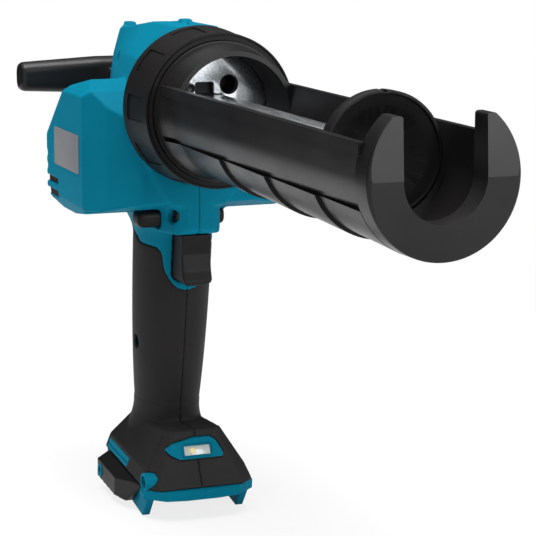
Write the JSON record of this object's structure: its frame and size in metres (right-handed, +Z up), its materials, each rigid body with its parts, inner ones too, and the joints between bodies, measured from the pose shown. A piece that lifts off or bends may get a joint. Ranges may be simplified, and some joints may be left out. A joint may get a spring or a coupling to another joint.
{
  "type": "cordless caulking tool",
  "caption": "Cordless caulking tool: open half-round cartridge holder on a screw collar, motor-driven rack rod and piston, pistol grip with trigger, and a foot with battery rails.",
  "frame": {"origin": "on the rod axis at the front face of the thrust plate, where the cartridge sits", "axes": "+X forward along the rod to the nose plate, +Z up, -Y the tool's right-hand side"},
  "size_m": [0.3975, 0.099, 0.2316],
  "materials": {
    "teal_plastic": "fine satin moulding",
    "black_plastic": "fine grained moulding",
    "grip_rubber": "soft matt overmould",
    "gloss_black": "polished",
    "grey_plate": "satin film",
    "zinc": "bright plated",
    "steel": "drawn",
    "dark_screw": "blackened",
    "cast_alloy": "as cast",
    "bush_brass": "sintered",
    "lamp_lens": "clear lens",
    "board": "lacquered"
  },
  "bodies": {
    "body": {"housing_right": "teal_plastic", "housing_left": "teal_plastic", "battery_frame": "teal_plastic", "led_bezel": "teal_plastic", "hook_boss": "teal_plastic", "side_panel_right": "teal_plastic", "side_panel_left": "teal_plastic", "hook_block_right": "black_plastic", "hook_block_left": "black_plastic", "terminal_block": "black_plastic", "switch_body": "black_plastic", "motor_cap": "black_plastic", "front_bush": "black_plastic", "grip_right": "grip_rubber", "grip_left": "grip_rubber", "rating_plate": "grey_plate", "thrust_plate": "zinc", "motor_can": "steel", "thrust_screw_right": "dark_screw", "thrust_screw_left": "dark_screw", "housing_screw_1": "dark_screw", "housing_screw_2": "dark_screw", "housing_screw_3": "dark_screw", "nose_ring": "cast_alloy", "gear_case": "cast_alloy", "rear_bush": "bush_brass", "led_lens": "lamp_lens", "control_board": "board"},
    "collar": {"collar_ring": "black_plastic"},
    "holder": {"cartridge_holder": "black_plastic"},
    "rod": {"rack_rod": "steel", "piston": "black_plastic", "piston_screw": "steel", "rod_handle": "black_plastic", "handle_pin": "steel"},
    "output": {"rack_pinion": "steel", "output_gear": "steel", "output_shaft": "steel"},
    "idler": {"idler_gear": "steel", "idler_shaft": "steel"},
    "rotor": {"motor_shaft": "steel", "motor_pinion": "steel", "motor_core": "steel"},
    "trigger": {"trigger": "black_plastic", "switch_plunger": "black_plastic"},
    "lock": {"lock_button": "gloss_black"}
  },
  "joints": [
    {"name": "rod_slide", "type": "slide", "parent": "body", "child": "rod", "axis": [1, 0, 0], "range_m": [-0.16, 0.016]},
    {"name": "output_turn", "type": "hinge", "parent": "body", "child": "output", "pos_m": [-0.044, 0, -0.01258], "axis": [0, 1, 0], "range_deg": [-1312, 133]},
    {"name": "idler_turn", "type": "hinge", "parent": "body", "child": "idler", "pos_m": [-0.06363, 0, -0.01372], "axis": [0, 1, 0], "range_deg": [-365, 3629]},
    {"name": "rotor_turn", "type": "hinge", "parent": "body", "child": "rotor", "pos_m": [-0.076, 0, -0.029], "axis": [0, 1, 0], "range_deg": [-10045, 1007]},
    {"name": "trigger_pull", "type": "slide", "parent": "body", "child": "trigger", "axis": [-1, 0, 0], "range_m": [0, 0.006], "stiffness_N_per_m": 800, "springref_m": -0.004},
    {"name": "lock_push", "type": "slide", "parent": "body", "child": "lock", "axis": [0, 1, 0], "range_m": [0, 0.005]},
    {"name": "collar_turn", "type": "hinge", "parent": "body", "child": "collar", "pos_m": [0, 0, 0], "axis": [1, 0, 0], "range_deg": [0, 90]},
    {"name": "holder_swivel", "type": "hinge", "parent": "body", "child": "holder", "pos_m": [0, 0, 0], "axis": [1, 0, 0], "continuous": true}
  ],
  "couplings": [
    {"joint": "output_turn", "follows": "rod_slide", "rad_per_m": 142.86},
    {"joint": "idler_turn", "follows": "rod_slide", "rad_per_m": -395.6},
    {"joint": "rotor_turn", "follows": "rod_slide", "rad_per_m": 1095.5}
  ]
}
